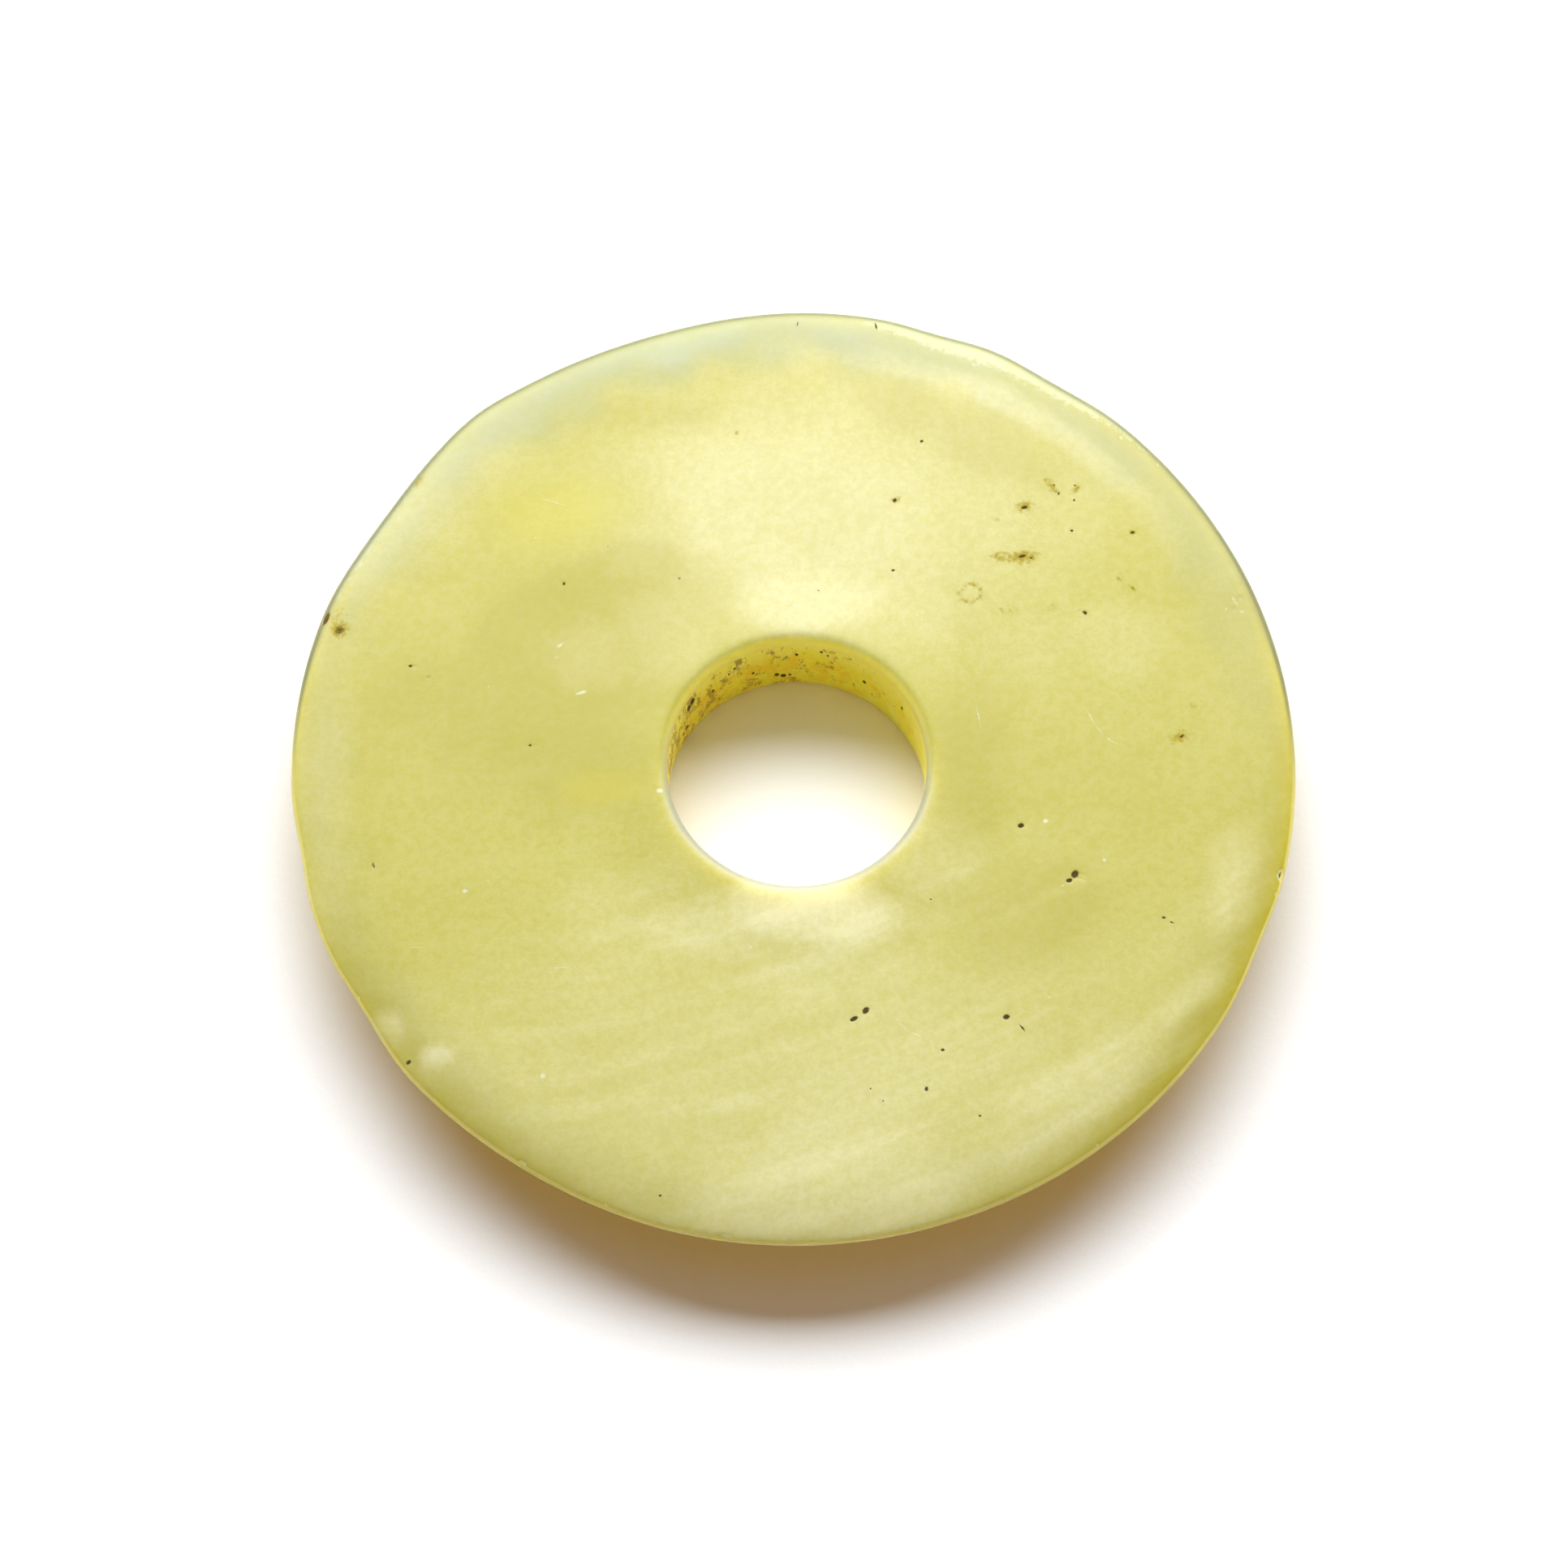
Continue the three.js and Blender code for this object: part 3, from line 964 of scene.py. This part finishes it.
def jade_material(settings):
    material = bpy.data.materials.new("polished_jade")
    material.use_nodes = True
    tree = material.node_tree
    shader = tree.nodes["Principled BSDF"]
    place = put(tree, "ShaderNodeTexCoord").outputs["Object"]
    clouds = place_group(tree, clouds_group(), position=place)
    wall = place_group(tree, hole_group(), position=place)
    polish = place_group(tree, polish_group(), position=place)
    level = {name: level_of(tree, name) for name in ("milk_and_sheen", "olive", "amber", "cool", "chalky", "edge")}

    ragged = ragged_group()
    soil = place_group(tree, ragged, position=place, level=level_of(tree, "soil"), ragged=0.25, soft=0.1)[0]
    rust = place_group(
        tree, ragged, position=place, level=level_of(tree, "rust"), scale=4500.0, ragged=1.5, soft=0.3
    )[0]
    bruise = place_group(
        tree, ragged, position=place, level=level_of(tree, "bruise"), scale=6000.0, ragged=0.7, soft=0.2
    )[0]
    weathered = place_group(
        tree, ragged, position=place, level=level_of(tree, "weathered"), scale=3000.0, ragged=1.5, soft=0.3
    )[0]

    # Pale stone, together with the painted sheen inside the far rim and about the hole.
    milk_and_sheen = times(tree, level["milk_and_sheen"], ramp(tree, clouds["Wisp"], 0, 1, 0.84, 1.12))
    milk_and_sheen = plus(tree, milk_and_sheen, times(tree, clouds["Wisp"], 0.09))
    milk_and_sheen = plus(tree, milk_and_sheen, ramp(tree, clouds["Grain"], 0.3, 0.7, -0.07, 0.09))
    milk_and_sheen = maths(tree, "ADD", milk_and_sheen, times(tree, clouds["Cloud"], 0.07), clamp=True)
    # The olive share holds the darker clouds and the painted shade on the rim's bevel.
    olive = times(tree, level["olive"], ramp(tree, clouds["Wisp"], 0, 1, 1.0, 0.6))
    tone = blend(tree, milk_and_sheen, (*settings.body, 1), (*settings.pale, 1))
    # The wall's ochre, olive and gold: real staining, kept bright as a painted glow of light through the stone.
    stain_and_glow = blend(tree, wall["Stain"], (*settings.wall_olive, 1), (*settings.ochre, 1))
    stain_and_glow = blend(tree, wall["Gold"], stain_and_glow, (*settings.wall_gold, 1))
    northing = put(tree, "ShaderNodeSeparateXYZ", {0: place}).outputs["Y"]
    stain_and_glow = blend(tree, ramp(tree, northing, -4.5 * MM, -1.5 * MM), (*settings.pale, 1), stain_and_glow)
    far = ramp(tree, northing, -4 * MM, 6 * MM)
    # The rim's edge: painted highlight near the viewer, painted shade on the far side.
    rim = blend(tree, far, (*settings.edge_painted_glint, 1), (*settings.edge_painted_shade, 1))
    # The hole's lip: painted highlight near the viewer, painted glow on the far side.
    lip = blend(tree, far, (*settings.lip_painted_glint, 1), (*settings.lip_painted_glow, 1))
    for share, colour in (
        (level["cool"], settings.cool),
        (times(tree, level["amber"], 0.8), settings.amber),
        (olive, settings.olive),
        (level["chalky"], settings.weathered),
        (times(tree, weathered, 0.8), settings.weathered),
        (times(tree, wall["Lip"], 0.85), lip),
        # Painted shade along the near brink of the hole.
        (times(tree, wall["Brink"], 0.75), settings.edge_painted_shade),
        (wall["Wall"], stain_and_glow),
        (times(tree, wall["Soil"], 0.75), settings.grime),
        (times(tree, rust, 0.85), settings.rust),
        (times(tree, bruise, 0.85), settings.bruise),
        (times(tree, level["edge"], 0.9), rim),
        (times(tree, soil, 0.97), settings.soil),
        (ramp(tree, clouds["Grain"], 0.65, 0.3, 0.0, 0.1), settings.olive),
    ):
        tone = blend(tree, share, tone, colour if isinstance(colour, bpy.types.NodeSocket) else (*colour, 1))
    dull = maths(tree, "MAXIMUM", maths(tree, "MAXIMUM", bruise, soil), rust)
    roughness = maths(tree, "MULTIPLY_ADD", dull, 0.5, polish["Roughness"])

    height = plus(tree, times(tree, polish["Height"], 0.1), times(tree, wall["Rings"], 0.35))
    height = maths(tree, "SUBTRACT", height, times(tree, bruise, 0.15))
    bump = put(tree, "ShaderNodeBump", {"Height": height, "Strength": 0.35, "Distance": 0.03 * MM})
    surface = {
        "Base Color": tone,
        "Roughness": roughness,
        "Normal": bump.outputs[0],
        "IOR": 1.6,
        "Specular IOR Level": 0.3,
        "Subsurface Weight": 1.0,
        "Subsurface Radius": (1.0, 0.85, 0.3),
        "Subsurface Scale": settings.depth,
    }
    fill(tree, shader, surface)
    reach = put(tree, "ShaderNodeVectorMath", {0: place}, operation="LENGTH").outputs["Value"]
    thin = ramp(tree, reach, 11 * MM, 22 * MM)
    let_light_through(tree, shader, blend(tree, thin, (*settings.inner_glow, 1), (*settings.glow, 1)))
    return material


def let_light_through(tree, shader, colour):
    """Lets some of the lamp's light through to what lies in the stone's shade, tinted by the stone."""
    veil = put(tree, "ShaderNodeBsdfTransparent", {"Color": colour})
    rays = put(tree, "ShaderNodeLightPath")
    shares = {0: rays.outputs["Is Shadow Ray"], 1: shader.outputs[0], 2: veil.outputs[0]}
    either = put(tree, "ShaderNodeMixShader", shares)
    tree.links.new(either.outputs[0], tree.nodes["Material Output"].inputs["Surface"])


def paper_material(colour):
    material = bpy.data.materials.new("white_paper")
    material.use_nodes = True
    tree = material.node_tree
    place = put(tree, "ShaderNodeTexCoord").outputs["Object"]
    bump_inputs = {"Height": cloudy(tree, place, 1500.0, 4.0, 0.7), "Strength": 0.25, "Distance": 0.1 * MM}
    bump = put(tree, "ShaderNodeBump", bump_inputs)
    surface = {
        "Base Color": (*colour, 1),
        "Roughness": 0.9,
        "Specular IOR Level": 0.2,
        "Normal": bump.outputs[0],
    }
    fill(tree, tree.nodes["Principled BSDF"], surface)
    return material


# ---------------------------------------------------------------- operators


class MakeStone(bpy.types.Operator):
    """Make the stone, with its wear and its finish"""

    bl_idname = "bi_disc.make_stone"
    bl_label = "Make Stone"

    def execute(self, context):
        scene = context.scene
        piece = make_stone(scene.bi_disc_stone)
        piece.data.materials.clear()
        piece.data.materials.append(jade_material(scene.bi_disc_jade))
        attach(piece, "root")
        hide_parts(NODE)
        return {"FINISHED"}


def aimed(thing, place, target):
    thing.location = place
    thing.rotation_euler = (target - place).to_track_quat("-Z", "Y").to_euler()


class SetStage(bpy.types.Operator):
    """Set the floor, the soft lights and the camera"""

    bl_idname = "bi_disc.set_stage"
    bl_label = "Set Stage"

    def execute(self, context):
        stage = context.scene.bi_disc_stage
        self.lay_floor(context, stage)
        main = direction(stage.lamp_azimuth, stage.lamp_elevation) * stage.lamp_distance
        self.hang_lamp(context, "main_lamp", main, (stage.lamp_width, stage.lamp_height), stage.lamp_power)
        top = direction(stage.lamp_azimuth, math.radians(84)) * stage.lamp_distance
        self.hang_lamp(context, "top_lamp", top, (stage.top_width, stage.top_width), stage.top_power)
        self.light_sky(context, stage)
        self.place_camera(context, stage)
        context.scene.view_settings.view_transform = "Standard"
        return {"FINISHED"}

    def lay_floor(self, context, stage):
        bpy.ops.mesh.primitive_plane_add(size=stage.floor_size, location=(0, 0, solid_low[2] - 1e-5))
        floor = context.object
        floor.name = "floor"
        floor.data.materials.append(paper_material(stage.floor_colour))

    def hang_lamp(self, context, name, place, size, power):
        data = bpy.data.lights.new(name, "AREA")
        data.shape = "ELLIPSE"
        data.size, data.size_y = size
        data.energy = power
        lamp = bpy.data.objects.new(name, data)
        context.collection.objects.link(lamp)
        aimed(lamp, place, Vector((0, 0, 0)))

    def light_sky(self, context, stage):
        world = bpy.data.worlds.new("pale_sky")
        world.use_nodes = True
        sky = world.node_tree.nodes["Background"]
        sky.inputs["Color"].default_value = (1, 1, 1, 1)
        sky.inputs["Strength"].default_value = stage.sky_strength
        context.scene.world = world

    def place_camera(self, context, stage):
        data = bpy.data.cameras.new("camera")
        data.sensor_width = 36
        data.lens = data.sensor_width * stage.view_distance / stage.view_width
        camera = bpy.data.objects.new("camera", data)
        context.collection.objects.link(camera)
        target = Vector((-0.7 * MM, -0.3 * MM, 0.6 * THICKNESS))
        away = direction(math.radians(-90), stage.view_elevation) * stage.view_distance
        aimed(camera, target + away, target)
        context.scene.camera = camera


class BiDiscPanel(bpy.types.Panel):
    """Lists the steps that make the disc"""

    bl_idname = "VIEW3D_PT_bi_disc"
    bl_label = "Bi Disc"
    bl_space_type = "VIEW_3D"
    bl_region_type = "UI"
    bl_category = "Bi Disc"

    def draw(self, context):
        scene = context.scene
        for title, settings, operator in (
            ("Stone", scene.bi_disc_stone, MakeStone.bl_idname),
            ("Jade", scene.bi_disc_jade, None),
            ("Stage", scene.bi_disc_stage, SetStage.bl_idname),
        ):
            box = self.layout.box()
            box.label(text=title)
            for name in settings.__annotations__:
                box.prop(settings, name)
            if operator:
                box.operator(operator)


CLASSES = (StoneSettings, JadeSettings, StageSettings, MakeStone, SetStage, BiDiscPanel)


def register():
    for item in CLASSES:
        bpy.utils.register_class(item)
    bpy.types.Scene.bi_disc_stone = PointerProperty(type=StoneSettings)
    bpy.types.Scene.bi_disc_jade = PointerProperty(type=JadeSettings)
    bpy.types.Scene.bi_disc_stage = PointerProperty(type=StageSettings)


def unregister():
    del bpy.types.Scene.bi_disc_stage
    del bpy.types.Scene.bi_disc_jade
    del bpy.types.Scene.bi_disc_stone
    for item in reversed(CLASSES):
        bpy.utils.unregister_class(item)


def main():
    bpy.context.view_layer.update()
    register()
    bpy.ops.bi_disc.make_stone()
    bpy.ops.bi_disc.set_stage()
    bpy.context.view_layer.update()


if __name__ == "__main__":
    main()
